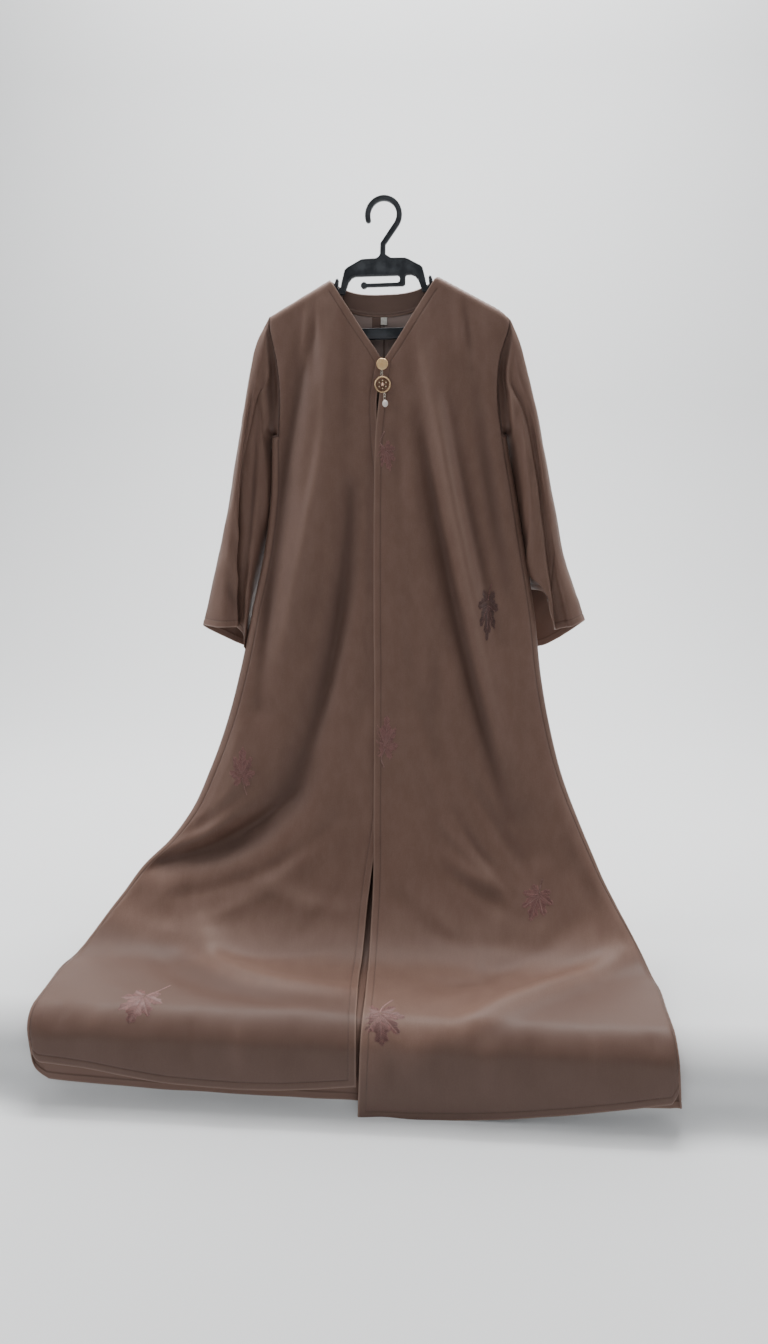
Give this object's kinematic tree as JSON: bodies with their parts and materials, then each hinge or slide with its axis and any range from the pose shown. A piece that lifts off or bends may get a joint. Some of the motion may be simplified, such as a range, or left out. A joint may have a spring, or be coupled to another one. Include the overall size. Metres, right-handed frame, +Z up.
{
  "type": "kaftan on a hanger",
  "caption": "Open-fronted kaftan with set-in sleeves and a clasp at the neck, hung on a moulded hanger, its skirt swept forward over a low edge",
  "frame": {"origin": "The inside top of the hanger's hook, where the hook rests on a rail.", "axes": "+Z is up, -Y is the garment's front and +X is the wearer's left."},
  "size_m": [0.9174, 0.4443, 1.3156],
  "materials": {
    "kaftan_cloth": "thin taupe cloth with a slight sheen",
    "facing_cloth": "the same cloth, doubled",
    "label_cloth": "plain off-white tape",
    "clasp_gold": "soft pink-gold plate",
    "pearl_shell": "off-white pearl",
    "hanger_plastic": "dark slate moulding with a faint sheen"
  },
  "bodies": {
    "root": {"front_right_panel": "kaftan_cloth", "front_left_panel": "kaftan_cloth", "back_right_panel": "kaftan_cloth", "back_left_panel": "kaftan_cloth", "sleeve_right": "kaftan_cloth", "sleeve_left": "kaftan_cloth", "back_neck_facing": "facing_cloth", "label": "label_cloth", "clasp_button": "clasp_gold", "link_upper": "clasp_gold", "medallion": "clasp_gold", "link_lower": "clasp_gold", "pearl": "pearl_shell", "hanger": "hanger_plastic"}
  },
  "joints": []
}
